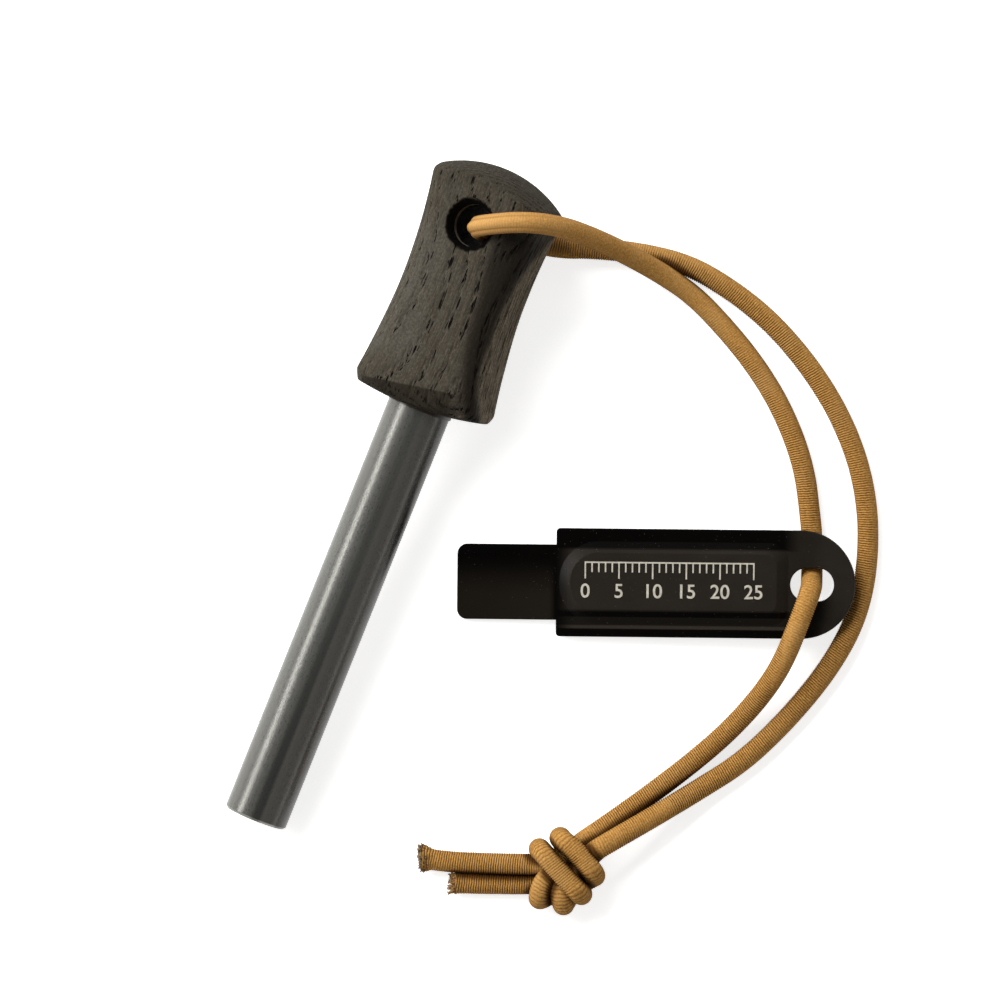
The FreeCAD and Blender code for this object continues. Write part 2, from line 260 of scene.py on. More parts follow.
def blend(share, first, second):
    """The first colour where share is 0 and the second where it is 1."""
    sockets = {0: share, 6: first, 7: second}
    return node(tree_of(share, first, second), "ShaderNodeMix", sockets, data_type="RGBA").outputs[2]


def layered(colour, *layers):
    """A colour with others laid over it in turn, each given as its share and its colour."""
    for share, over in layers:
        colour = blend(share, colour, over)
    return colour


def attribute(tree, name):
    return node(tree, "ShaderNodeAttribute", attribute_name=name).outputs["Fac"]


def bump(height, strength=1.0):
    """Bump from a height in metres."""
    sockets = {"Height": height, "Distance": 1.0, "Strength": strength}
    return node(tree_of(height), "ShaderNodeBump", sockets).outputs[0]


def new_material(name):
    """A material with a Principled shader: the material, the shader and the object's own place."""
    material = bpy.data.materials.new(name)
    material.use_nodes = True
    tree = material.node_tree
    place = node(tree, "ShaderNodeTexCoord").outputs["Object"]
    return material, tree.nodes["Principled BSDF"], place


def feed(shader, **sockets):
    """Links or sets the shader's sockets. An underscore stands for a space."""
    for name, value in sockets.items():
        socket = shader.inputs[name.replace("_", " ")]
        if isinstance(value, bpy.types.NodeSocket):
            tree_of(value).links.new(value, socket)
        else:
            socket.default_value = value


def set_material(target, material):
    target.data.materials.clear()
    target.data.materials.append(material)


# Shapes made by Geometry Nodes

def new_object(name, data):
    data.name = name
    made = bpy.data.objects.new(name, data)
    bpy.context.scene.collection.objects.link(made)
    return made


def new_tree(name, geometry, numbers, counts, objects=()):
    """A Geometry Nodes tree with named inputs, and the sockets they give inside it."""
    tree = bpy.data.node_groups.new(name, "GeometryNodeTree")
    for kind, names in (("Geometry", geometry), ("Object", objects), ("Float", numbers), ("Int", counts),
                        ("Material", ("Finish",))):
        for socket_name in names:
            tree.interface.new_socket(socket_name, in_out="INPUT", socket_type="NodeSocket" + kind)
    tree.interface.new_socket("Piece", in_out="OUTPUT", socket_type="NodeSocketGeometry")
    return tree, node(tree, "NodeGroupInput").outputs


def close_tree(shape, finish):
    """Ends a shape's tree in real, smooth geometry with its material."""
    tree = tree_of(shape)
    smooth = node(tree, "GeometryNodeSetShadeSmooth", {0: shape})
    real = node(tree, "GeometryNodeRealizeInstances", {0: smooth.outputs[0]})
    finished = node(tree, "GeometryNodeSetMaterial", {"Geometry": real.outputs[0], "Material": finish})
    node(tree, "NodeGroupOutput", {0: finished.outputs[0]})


def moved(shape, direction, length):
    """A shape with each of its points moved by a length along a direction."""
    offset = scaled(direction, length)
    return node(tree_of(shape), "GeometryNodeSetPosition", {"Geometry": shape, "Offset": offset}).outputs[0]


def stored(shape, **values):
    """Stores numbers on a shape's points for its material to read."""
    for name, value in values.items():
        sockets = {"Geometry": shape, "Name": name, "Value": value}
        shape = node(tree_of(shape), "GeometryNodeStoreNamedAttribute", sockets).outputs[0]
    return shape


def apply_tree(source, tree, name, **inputs):
    """The plain mesh that a tree makes of an object. An underscore in an input's name is a space."""
    modifier = source.modifiers.new(tree.name, "NODES")
    modifier.node_group = tree
    sockets = {item.name: item.identifier for item in tree.interface.items_tree if item.in_out == "INPUT"}
    for key, value in inputs.items():
        modifier[sockets[key.replace("_", " ")]] = value
    source.update_tag()
    bpy.context.view_layer.update()
    evaluated = source.evaluated_get(bpy.context.evaluated_depsgraph_get())
    mesh = bpy.data.meshes.new_from_object(evaluated)
    source.modifiers.remove(modifier)
    return new_object(name, mesh)


# Cord: routes listed in millimetres from the working origin under the rod's tip

hole_middle_on_table = (0.03, 93.76, 11.85)
front_route = [
    (-0.05, 93.2, 11.85),
    (-2.4, 93.0, 18.5),
    (-1.1, 93.9, 21.7),
    (3.9, 96.4, 23.65),
    (9.2, 97.9, 21.2),
    (14.3, 98.2, 15.1),
    (19.5, 98.0, 8.9),
    (25.2, 97.4, 4.0),
    (31.3, 96.2, 1.75),
    (37.5, 93.4, 1.65),
    (43.3, 90.2, 1.65),
    (48.6, 86.4, 1.65),
    (53.1, 82.1, 1.65),
    (56.6, 77.7, 1.65),
    (59.2, 73.0, 1.65),
    (61.2, 69.2, 1.65),
    (63.44, 63.47, 1.65),
    (63.8, 62.1, 7.0),
    (63.95, 56.3, 7.3),
    (63.95, 50.0, 5.8),
    (62.6, 43.9, 3.4),
    (59.9, 37.0, 1.8),
    (56.2, 30.2, 1.65),
    (52.2, 23.6, 1.9),
    (47.9, 17.0, 2.7),
    (46.0, 14.2, 3.0),
]
front_knot_route = [
    (45.4, 12.1, 3.2),
    (44.7, 9.9, 4.0),
    (43.6, 8.2, 5.0),
    (43.1, 6.7, 5.4),
    (43.4, 4.7, 4.8),
    (43.7, 4.5, 1.9),
    (45.1, 6.1, 1.7),
    (47.4, 8.1, 1.7),
    (49.1, 9.7, 1.8),
    (49.8, 10.7, 2.2),
    (49.9, 10.8, 5.0),
    (49.3, 11.35, 7.2),
    (48.0, 12.05, 7.3),
    (45.35, 13.4, 7.3),
    (43.6, 13.9, 7.1),
    (42.95, 14.05, 5.0),
    (43.1, 14.2, 2.2),
    (44.2, 13.0, 1.8),
    (44.5, 11.6, 2.4),
]
long_tail_route = [
    (43.6, 10.2, 3.6),
    (40.3, 8.75, 3.1),
    (36.8, 7.4, 2.7),
    (32.6, 5.85, 2.35),
    (28.4, 4.40, 2.25),
    (25.1, 3.65, 2.20),
]
back_route = [
    (-0.05, 93.2, 11.85),
    (3.10, 94.0, 3.24),
    (5.4, 94.6, 1.65),
    (9.6, 94.9, 1.65),
    (15.6, 97.2, 1.65),
    (22.4, 99.1, 1.65),
    (29.3, 100.0, 1.65),
    (36.0, 99.0, 1.65),
    (42.6, 97.1, 1.65),
    (48.9, 94.1, 1.65),
    (54.7, 90.4, 1.65),
    (59.6, 86.3, 1.65),
    (63.8, 81.6, 1.65),
    (67.1, 76.4, 1.65),
    (69.5, 70.8, 1.65),
    (71.1, 65.0, 1.65),
    (71.6, 59.2, 1.65),
    (70.8, 53.0, 1.65),
    (69.1, 46.8, 1.65),
    (66.7, 40.4, 1.65),
    (63.7, 34.2, 1.65),
    (59.4, 28.3, 2.0),
    (54.9, 22.4, 4.1),
    (50.3, 16.6, 5.6),
    (48.6, 14.4, 6.0),
]
back_knot_route = [
    (48.1, 13.0, 4.6),
    (47.2, 10.9, 3.8),
    (46.2, 9.0, 4.2),
    (45.7, 7.5, 5.2),
    (46.4, 6.0, 5.2),
    (47.2, 5.0, 4.2),
    (47.2, 5.2, 1.9),
    (47.5, 6.5, 1.7),
    (48.1, 7.5, 1.8),
    (48.9, 7.8, 2.2),
    (49.2, 7.4, 5.0),
    (48.4, 7.8, 7.2),
    (46.9, 8.5, 7.3),
    (43.3, 10.2, 7.3),
    (41.6, 11.1, 7.1),
    (40.7, 11.5, 5.0),
    (40.9, 11.3, 2.2),
    (42.3, 10.2, 1.7),
    (43.5, 8.6, 1.7),
]
short_tail_route = [
    (43.0, 6.8, 1.9),
    (40.1, 5.5, 1.7),
    (36.9, 4.25, 1.65),
    (33.9, 3.1, 1.65),
    (31.1, 2.1, 1.65),
]
working_origin = hole_middle - Vector(hole_middle_on_table) * mm


def route_curve(name, route):
    """One smooth NURBS spline with the route's points as its control points."""
    curve = bpy.data.curves.new(name, "CURVE")
    curve.dimensions = "3D"
    curve.resolution_u = route_resolution
    spline = curve.splines.new("NURBS")
    spline.points.add(len(route) - 1)
    for point, place in zip(spline.points, route):
        point.co = (*(working_origin + Vector(place) * mm), 1.0)
    spline.order_u = 3
    spline.use_endpoint_u = True
    return new_object(name, curve)


# Cord: the ribbed sheath

def tube_on_route(tree, sizes, position):
    """A plain tube on a stretch of a route, with each point's place along, around and out of it."""
    ring_step = ratio(sizes["Rib Pitch"], sizes["Rings per Rib"])
    route = {"Curve": sizes["Route"], "Length": ring_step}
    rings = node(tree, "GeometryNodeResampleCurve", route, mode="LENGTH").outputs[0]
    on_spline = node(tree, "GeometryNodeSplineParameter")
    on_route = node(tree, "GeometryNodeCaptureAttribute", {"Geometry": rings})
    on_route.capture_items.new("FLOAT", "Along")
    on_route.capture_items.new("VECTOR", "Centre")
    tree.links.new(on_spline.outputs["Length"], on_route.inputs["Along"])
    tree.links.new(position, on_route.inputs["Centre"])
    stretch = node(tree, "GeometryNodeTrimCurve", {"Curve": on_route.outputs["Geometry"]}, mode="LENGTH")
    tree.links.new(sizes["From"], stretch.inputs[4])
    tree.links.new(sizes["To"], stretch.inputs[5])
    section = {"Resolution": sizes["Sides"], "Radius": sizes["Cord Radius"]}
    circle = node(tree, "GeometryNodeCurvePrimitiveCircle", section)
    on_circle = node(tree, "GeometryNodeCaptureAttribute", {"Geometry": circle.outputs[0]})
    on_circle.capture_items.new("FLOAT", "Around")
    tree.links.new(on_spline.outputs["Factor"], on_circle.inputs["Around"])
    tube = node(tree, "GeometryNodeCurveToMesh", {
        "Curve": stretch.outputs[0],
        "Profile Curve": on_circle.outputs["Geometry"],
        "Fill Caps": True,
    }).outputs[0]
    off_centre = vector_maths("SUBTRACT", position, on_route.outputs["Centre"])
    outward = vector_maths("NORMALIZE", off_centre)
    return tube, rings, on_route.outputs["Along"], on_circle.outputs["Around"], outward


def headings_beside(tree, rings, along, reach):
    """The route's headings that far before a point and that far after it."""
    headings = []
    for side in ("SUBTRACT", "ADD"):
        sockets = {"Curves": rings, "Length": maths(side, along, reach)}
        headings.append(node(tree, "GeometryNodeSampleCurve", sockets, mode="LENGTH").outputs["Tangent"])
    return headings


def inside_of_bend(before, after, outward):
    """Near 1 on the inside of a bend, -1 on its outside, and 0 where the route is straight."""
    turn = vector_maths("SUBTRACT", after, before)
    bend = plus(vector_maths("LENGTH", turn, output=1), 0.03)
    return ratio(dot(turn, outward), bend)


def rib_crests(sizes, position, along, around):
    """1 on the crest of a rib and 0 between two ribs, which slant round the cord and waver."""
    wander = times(noise(position, 900.0), sizes["Rib Wander"])
    zigzag = maths("PINGPONG", times(around, 8.0), 0.5)
    turns = plus(ratio(along, sizes["Rib Pitch"]), wander)
    slant = plus(times(around, sizes["Rib Starts"]), times(zigzag, 0.25))
    phase = plus(turns, slant)
    return maths("ABSOLUTE", maths("SINE", times(phase, math.pi)))


def rib_strength(sizes, position, along, inside):
    """How strong the ribs are: most inside a bend, and weak from the taut stretch on."""
    patchy = smooth_step(noise(position, 350.0), 0.30, 0.70, 0.75, 1.0)
    bent = smooth_step(inside, -0.66, 0.36, sizes["Least Rib"], 1.65)
    weak_until = times(sizes["Taut Length"], 1.5)
    full_from = times(sizes["Taut Length"], 3.4)
    slack = smooth_step(along, weak_until, full_from, 0.12, 1.0)
    return times(times(patchy, bent), slack)


def sheath_shade(tree, sizes, outward, taut):
    """Painted shade: beside the other strand, on the underside, and below the taut folds on the side away
    from the window.
    """
    other = {"Object": sizes["Neighbour"]}
    neighbour = node(tree, "GeometryNodeObjectInfo", other, transform_space="RELATIVE")
    other_line = node(tree, "GeometryNodeCurveToMesh", {"Curve": neighbour.outputs["Geometry"]}).outputs[0]
    nearest = node(tree, "GeometryNodeProximity", {0: other_line}, target_element="EDGES")
    radii_away = ratio(nearest.outputs["Distance"], sizes["Cord Radius"])
    near_other_strand = smooth_step(radii_away, 1.32, 1.90, 1.0, 0.0)
    facing_up = node(tree, "ShaderNodeSeparateXYZ", {0: outward}).outputs["Z"]
    under = smooth_step(facing_up, -0.20, 0.62, 0.55, 0.0)
    off_light = dot(outward, side_off_the_window)
    below_fold = times(smooth_step(off_light, 0.25, 0.95, 0.0, 0.40), taut)
    return maths("MAXIMUM", maths("MAXIMUM", near_other_strand, under), below_fold)


def ribbed_sheath_tree():
    """A woven sheath round a route: fine slanted ribs, deep inside a bend and smooth where it is taut."""
    tree, sizes = new_tree(
        "ribbed_sheath", ("Route",),
        ("From", "To", "Cord Radius", "Rib Pitch", "Rib Depth", "Rib Wander", "Taut Length", "Crease Depth",
         "End Flare", "Flare Length", "End Char", "Least Rib", "Cut Tilt"),
        ("Rings per Rib", "Sides", "Rib Starts"),
        ("Neighbour",),
    )
    position = node(tree, "GeometryNodeInputPosition").outputs[0]
    tube, rings, along, around, outward = tube_on_route(tree, sizes, position)
    before, after = headings_beside(tree, rings, along, sizes["Cord Radius"])
    inside = inside_of_bend(before, after, outward)
    crest = rib_crests(sizes, position, along, around)
    strength = rib_strength(sizes, position, along, inside)
    rib = times(minus(crest, 1.0), times(sizes["Rib Depth"], strength))

    # The taut stretch has lengthwise creases, and its ribs are weak
    taut_until = times(sizes["Taut Length"], 0.4)
    taut = smooth_step(along, taut_until, sizes["Taut Length"], 1.0, 0.0)
    crease_angle = times(around, crease_count * math.pi)
    folds = minus(maths("ABSOLUTE", maths("SINE", crease_angle)), 1.0)
    crease = times(times(folds, sizes["Crease Depth"]), taut)

    # The cut end flares raggedly, and its face leans to one side
    flare_start = minus(sizes["To"], sizes["Flare Length"])
    near_end = smooth_step(along, flare_start, sizes["To"])
    ragged = smooth_step(noise(position, 1100.0), 0.35, 0.65, 0.3, 1.7)
    flare = times(times(near_end, ragged), sizes["End Flare"])
    height = plus(plus(rib, crease), flare)
    shape = moved(tube, outward, height)
    level_side = vector_maths("CROSS_PRODUCT", before, (0.0, 0.0, 1.0))
    to_side = dot(outward, level_side)
    tilt = times(times(to_side, sizes["Cord Radius"]), sizes["Cut Tilt"])
    shape = moved(shape, before, times(tilt, near_end))

    shade = sheath_shade(tree, sizes, outward, taut)
    char = times(near_end, sizes["End Char"])
    shape = stored(shape, crest=crest, groove=strength, taut=taut, fold=folds, shade=shade, char=char)
    close_tree(shape, sizes["Finish"])
    return tree


dark_thread = rgb(0.325, 0.145, 0.029)
light_thread = rgb(0.70, 0.384, 0.114)
faded_thread = rgb(0.556, 0.318, 0.110)
taut_thread = rgb(0.55, 0.31, 0.108)
# Painted shade: near-black brown in the grooves between the ribs
rib_groove_shade = rgb(0.040, 0.011, 0.002)
# Painted shade in the bottoms of the taut creases
crease_shade = rgb(0.20, 0.085, 0.018)
# Painted shade, laid on where the sheath's shade attribute marks it
painted_shade_brown = rgb(0.045, 0.013, 0.002)
charred_thread = rgb(0.055, 0.042, 0.028)


def cord_material():
    material, shader, place = new_material("brown_woven_sheath")
    tree = material.node_tree
    yarn = noise(place, 3400.0, 3.0, 0.6)
    fading = noise(place, 130.0)
    taut = attribute(tree, "taut")
    crest = smooth_step(attribute(tree, "crest"), 0.12, 0.86)
    depth = smooth_step(attribute(tree, "groove"), 0.20, 1.15, 0.15, 1.0)
    hollow = times(minus(1.0, crest), depth)
    thread = blend(smooth_step(yarn, 0.15, 0.85), dark_thread, light_thread)
    in_fold = times(smooth_step(attribute(tree, "fold"), -0.95, -0.55, 1.0, 0.0), taut)
    specks = smooth_step(noise(place, 3000.0, 2.0, 0.6), 0.46, 0.58)
    colour = layered(
        thread,
        (smooth_step(fading, 0.42, 0.72, 0.0, 0.4), faded_thread),
        (times(taut, 0.65), taut_thread),
        # Painted shade in the rib grooves
        (times(hollow, 0.95), rib_groove_shade),
        # Painted shade in the taut creases
        (times(in_fold, 0.70), crease_shade),
        # Painted shade beside the other strand, on the underside and below the folds
        (times(attribute(tree, "shade"), 0.88), painted_shade_brown),
        (times(attribute(tree, "char"), specks), charred_thread),
    )
    normal = bump(times(yarn, 0.05 * mm), 0.8)
    feed(shader, Base_Color=colour, Roughness=0.75, Normal=normal, Specular_IOR_Level=0.04)
    return material


# Cord: the cut ends

def rough_plug(tree, sizes, position):
    """A flattened ball with a lumpy skin, which closes the cord's end."""
    ball_sizes = {"Segments": 40, "Rings": 20, "Radius": sizes["End Radius"]}
    ball = node(tree, "GeometryNodeMeshUVSphere", ball_sizes).outputs[0]
    flatness = ratio(sizes["Plug Height"], sizes["End Radius"])
    flat = node(tree, "ShaderNodeCombineXYZ", {0: 1.0, 1: 1.0, 2: flatness}).outputs[0]
    plug = node(tree, "GeometryNodeTransform", {"Geometry": ball, "Scale": flat}).outputs[0]
    lumps = minus(noise(position, 2600.0, 3.0, 0.7), 0.6)
    normal = node(tree, "GeometryNodeInputNormal").outputs[0]
    return moved(plug, normal, times(lumps, times(sizes["Fibre Radius"], 5.0)))


def loose_fibres(tree, sizes, position):
    """Fibres of uneven length that stand on the cord's end, lean outwards and curl."""
    disc_sizes = {"Vertices": 32, "Radius": sizes["End Radius"]}
    disc = node(tree, "GeometryNodeMeshCircle", disc_sizes, fill_type="NGON").outputs[0]
    density = ratio(1.0, times(sizes["Fibre Spacing"], sizes["Fibre Spacing"]))
    roots = node(tree, "GeometryNodeDistributePointsOnFaces", {
        "Mesh": disc, "Density": density, "Seed": sizes["Seed"],
    })
    fibre = node(tree, "GeometryNodeMeshCone", {
        "Vertices": 5, "Side Segments": 5, "Radius Top": times(sizes["Fibre Radius"], 0.4),
        "Radius Bottom": sizes["Fibre Radius"], "Depth": sizes["Fibre Length"],
    })
    jitter_range = {0: (-0.35, -0.35, 0.0), 1: (0.35, 0.35, 0.3), "Seed": sizes["Seed"]}
    jitter = node(tree, "FunctionNodeRandomValue", jitter_range, data_type="FLOAT_VECTOR").outputs[0]
    lean = scaled(position, ratio(sizes["Flare"], sizes["End Radius"]))
    upward = vector_maths("ADD", vector_maths("ADD", lean, jitter), (0.0, 0.0, 1.0))
    heading = node(tree, "FunctionNodeAlignRotationToVector", {"Vector": upward}, axis="Z")
    length_range = {2: 0.35, 3: 1.0, "Seed": plus(sizes["Seed"], 7.0)}
    length = node(tree, "FunctionNodeRandomValue", length_range, data_type="FLOAT").outputs[1]
    size = node(tree, "ShaderNodeCombineXYZ", {0: 1.0, 1: 1.0, 2: length})
    tuft = node(tree, "GeometryNodeInstanceOnPoints", {
        "Points": roots.outputs[0], "Instance": fibre.outputs[0],
        "Rotation": heading.outputs[0], "Scale": size.outputs[0],
    })
    fibres = node(tree, "GeometryNodeRealizeInstances", {0: tuft.outputs[0]}).outputs[0]
    swirl = node(tree, "ShaderNodeTexNoise", {"Vector": position, "Scale": 1800.0}).outputs["Color"]
    aside = vector_maths("SUBTRACT", swirl, (0.5, 0.5, 0.5))
    height = node(tree, "ShaderNodeSeparateXYZ", {0: position}).outputs["Z"]
    return moved(fibres, aside, times(height, sizes["Tangle"]))


def cut_end_tree():
    """A cord's cut end, built on Z: a rough plug and the loose fibres that stand out of it."""
    tree, sizes = new_tree(
        "cut_end", (),
        ("End Radius", "Plug Height", "Fibre Length", "Fibre Radius", "Fibre Spacing", "Flare", "Tangle",
         "Char"),
        ("Seed",),
    )
    position = node(tree, "GeometryNodeInputPosition").outputs[0]
    plug = rough_plug(tree, sizes, position)
    fibres = loose_fibres(tree, sizes, position)
    both = node(tree, "GeometryNodeJoinGeometry")
    tree.links.new(plug, both.inputs[0])
    tree.links.new(fibres, both.inputs[0])
    close_tree(stored(both.outputs[0], char=sizes["Char"]), sizes["Finish"])
    return tree


fresh_shadow = rgb(0.20, 0.085, 0.020)
fresh_fibre = rgb(0.50, 0.30, 0.11)
singed_shadow = rgb(0.060, 0.046, 0.030)
singed_fibre = rgb(0.34, 0.25, 0.14)


def cut_end_material():
    material, shader, place = new_material("singed_yarn_ends")
    specks = noise(place, 3300.0, 3.0, 0.7)
    fresh = blend(smooth_step(specks, 0.40, 0.62), fresh_shadow, fresh_fibre)
    singed = blend(smooth_step(specks, 0.42, 0.66), singed_shadow, singed_fibre)
    colour = blend(attribute(material.node_tree, "char"), fresh, singed)
    feed(shader, Base_Color=colour, Roughness=0.7, Specular_IOR_Level=0.25)
    return material


def cut_end(name, path, tree, finish, tilt, **sizes):
    """A cut end standing on a path's last point, its face turned aside by that tangent."""
    seed = new_object(name + "_seed", bpy.data.meshes.new(name + "_seed"))
    piece = apply_tree(seed, tree, name, Finish=finish, **sizes)
    bpy.data.objects.remove(seed)
    heading = (path[-1] - path[-2]).normalized()
    facing = heading - heading.cross(Vector((0, 0, 1))) * tilt
    turned = facing.to_track_quat("Z", "Y").to_matrix().to_4x4()
    piece.data.transform(Matrix.Translation(path[-1]) @ turned)
    return piece


# Cord: its strands, knot and tails

def path_length(path):
    return sum((after - before).length for before, after in zip(path, path[1:]))


def ribbed_cord(strand_name, knot_name, line, neighbour, last_strand_point, tree, finish, taut, **end):
    """A cord in two pieces, its strand and its part of the knot with the tail. Gives their paths too."""
    middle = bpy.data.meshes.new_from_object(line)
    path = [vertex.co.copy() for vertex in middle.vertices]
    bpy.data.meshes.remove(middle)
    knot_start = working_origin + Vector(last_strand_point) * mm
    last = min(range(len(path)), key=lambda index: (path[index] - knot_start).length)
    strand_length = path_length(path[:last + 1])
    sizes = dict(
        Cord_Radius=cord_radius, Rib_Pitch=rib_pitch, Rib_Depth=rib_depth, Rib_Wander=rib_wander,
        Taut_Length=taut, Crease_Depth=crease_depth, Flare_Length=flare_length,
        Rings_per_Rib=rings_per_rib, Sides=cord_sides, Rib_Starts=rib_starts,
        Finish=finish, Neighbour=neighbour,
    )
    strand = apply_tree(
        line, tree, strand_name, From=0.0, To=strand_length, Least_Rib=least_rib_on_strand,
        End_Flare=0.0, End_Char=0.0, Cut_Tilt=0.0, **sizes,
    )
    knot = apply_tree(
        line, tree, knot_name, From=strand_length, To=path_length(path), Least_Rib=least_rib_in_knot,
        **end, **sizes,
    )
    return strand, knot, path[:last + 1], path[last:]


sheath_tree = ribbed_sheath_tree()
sheath_finish = cord_material()
front_line = route_curve("front_line", front_route + front_knot_route + long_tail_route)
back_line = route_curve("back_line", back_route + back_knot_route + short_tail_route)
front_cord, front_knot, front_path, long_tail_path = ribbed_cord(
    "cord_front", "knot_front_strand", front_line, back_line, front_route[-1], sheath_tree, sheath_finish,
    taut=taut_length_front, End_Flare=0.38 * mm, End_Char=1.0, Cut_Tilt=long_tail_tilt,
)
back_cord, back_knot, back_path, short_tail_path = ribbed_cord(
    "cord_back", "knot_back_strand", back_line, front_line, back_route[-1], sheath_tree, sheath_finish,
    taut=taut_length_back, End_Flare=0.10 * mm, End_Char=0.35, Cut_Tilt=short_tail_tilt,
)
bpy.data.objects.remove(front_line)
bpy.data.objects.remove(back_line)
yarn_tree = cut_end_tree()
yarn_finish = cut_end_material()
long_tail_end = cut_end(
    "tail_long_cut_end", long_tail_path, yarn_tree, yarn_finish, tilt=long_tail_tilt,
    End_Radius=1.85 * mm, Plug_Height=0.60 * mm, Fibre_Length=0.62 * mm, Fibre_Radius=0.17 * mm,
    Fibre_Spacing=0.26 * mm, Flare=0.7, Tangle=1.6, Char=0.85, Seed=3,
)
short_tail_end = cut_end(
    "tail_short_cut_end", short_tail_path, yarn_tree, yarn_finish, tilt=short_tail_tilt,
    End_Radius=1.55 * mm, Plug_Height=0.60 * mm, Fibre_Length=1.15 * mm, Fibre_Radius=0.12 * mm,
    Fibre_Spacing=0.27 * mm, Flare=0.45, Tangle=1.5, Char=0.15, Seed=11,
)


# Handle: charred oak, carved by its open pores, with a burnt hole

def oak(position):
    """Charred oak's features at a point: pores, early wood, fine grain, the burnt rim and the facet."""
    at = own_millimetres(position, handle_place)
    x, y, z = at
    leaning = minus(x, times(y, grain_slant))
    wobble = times(long_noise(at, 7.0, 60.0), 0.5)
    radial = distance_from(leaning, z, pith_x, pith_z)
    ring = maths("FRACT", plus(ratio(radial, ring_spacing), wobble))
    early = between(ring, 0.22, 0.44, 0.14)
    clusters = smooth_step(long_noise(at, 1.1, 9.0), 0.28, 0.44)
    porous = times(early, clusters)
    pore_cells = {"Vector": stretched(at, pore_width, pore_length), "Scale": 1.0}
    from_cell = node(tree_of(x), "ShaderNodeTexVoronoi", pore_cells).outputs["Distance"]
    reach = smooth_step(porous, 0.05, 0.9, 0.05, 0.56)
    pore = smooth_step(from_cell, times(reach, 0.55), reach, 1.0, 0.0)
    past_edge = minus(from_cell, reach)
    # Pale rims round the pores, for painted highlights on their edges
    rim = times(between(past_edge, 0.04, 0.10, 0.05), porous)
    grain = long_noise(at, 0.16, 5.0, 3.0, 0.6)
    ragged = times(long_noise(at, 0.9, 0.9), 0.7)
    hole_away = plus(distance_from(x, y, 0.0, cross_hole_height), ragged)
    burnt = smooth_step(hole_away, countersink_radius + 0.25, countersink_radius + 0.65, 1.0, 0.0)
    facet_top = plus(facet_height, times(x, facet_slant))
    facet_top = plus(facet_top, times(ragged, 0.25))
    in_facet = minus(facet_top, y)
    return {
        "at": at, "pore": pore, "rim": rim, "early": early, "grain": grain, "burnt": burnt,
        "in_facet": in_facet,
    }


def oak_relief_tree():
    """Sinks a handle's surface at its pores, early wood and grain, then cuts its front facet deeper."""
    depths = ("Pore Depth", "Ring Depth", "Grain Depth", "Burn Depth")
    tree, sizes = new_tree("oak_relief", ("Handle",), depths, ())
    wood = oak(node(tree, "GeometryNodeInputPosition").outputs[0])
    sound = minus(1.0, wood["burnt"])
    pores_sunk = times(wood["pore"], sizes["Pore Depth"])
    rings_sunk = times(wood["early"], sizes["Ring Depth"])
    sunk = plus(pores_sunk, rings_sunk)
    sunk = plus(sunk, times(wood["grain"], sizes["Grain Depth"]))
    burnt_away = times(wood["burnt"], sizes["Burn Depth"])
    depth = times(plus(times(sunk, sound), burnt_away), -1.0)
    normal = node(tree, "GeometryNodeInputNormal").outputs[0]
    relieved = moved(sizes["Handle"], normal, depth)
    wood = oak(node(tree, "GeometryNodeInputPosition").outputs[0])
    near_face = smooth_step(wood["at"][2], 4.9, 6.9)
    cut = times(maths("MAXIMUM", wood["in_facet"], 0.0), -facet_slope * mm)
    out_of_face = tuple(handle_place.to_3x3() @ Vector((0, 0, 1)))
    faceted = moved(relieved, out_of_face, times(cut, near_face))
    close_tree(faceted, sizes["Finish"])
    return tree


late_wood_dark = rgb(0.043, 0.036, 0.026)
late_wood_light = rgb(0.084, 0.073, 0.055)
early_wood = rgb(0.024, 0.019, 0.013)
ash_grey = rgb(0.072, 0.066, 0.054)
brown_shadow = rgb(0.040, 0.032, 0.021)
brown_fibre = rgb(0.320, 0.270, 0.197)
# Painted light on the handle's left flank
lit_flank_grey = rgb(0.14, 0.13, 0.11)
dark_fleck = rgb(0.026, 0.022, 0.016)
pale_fleck = rgb(0.12, 0.11, 0.09)
pore_rim_highlight = rgb(0.13, 0.115, 0.09)
# Painted shadow: the core shadow down the right front and the cord's shadow
painted_shadow_black = rgb(0.010, 0.008, 0.006)
pore_black = rgb(0.004, 0.0035, 0.003)
dome_char = rgb(0.016, 0.013, 0.009)
# Painted shade on the lower front facet
facet_shade = rgb(0.014, 0.011, 0.007)
bore_black = rgb(0.0025, 0.002, 0.0015)
# Painted highlight on the bore's rim
bore_rim_highlight = rgb(0.19, 0.172, 0.145)


def oak_sides(at):
    """How far right a point lies, how far it is past the painted shadow band and how far past the front's
    middle.
    """
    x, y, z = at
    level = minus(times(x, math.cos(handle_roll)), times(z, -math.sin(handle_roll)))
    from_waist = minus(y, waist_height)
    narrowing = times(times(from_waist, from_waist), waist_curve)
    round_side = minus(level, narrowing)
    past_shadow_band = minus(round_side, smooth_step(y, 5.0, 15.0, 5.1, 6.3))
    past_front = minus(round_side, smooth_step(y, 17.0, 27.0, 3.4, 0.6))
    return level, past_shadow_band, past_front


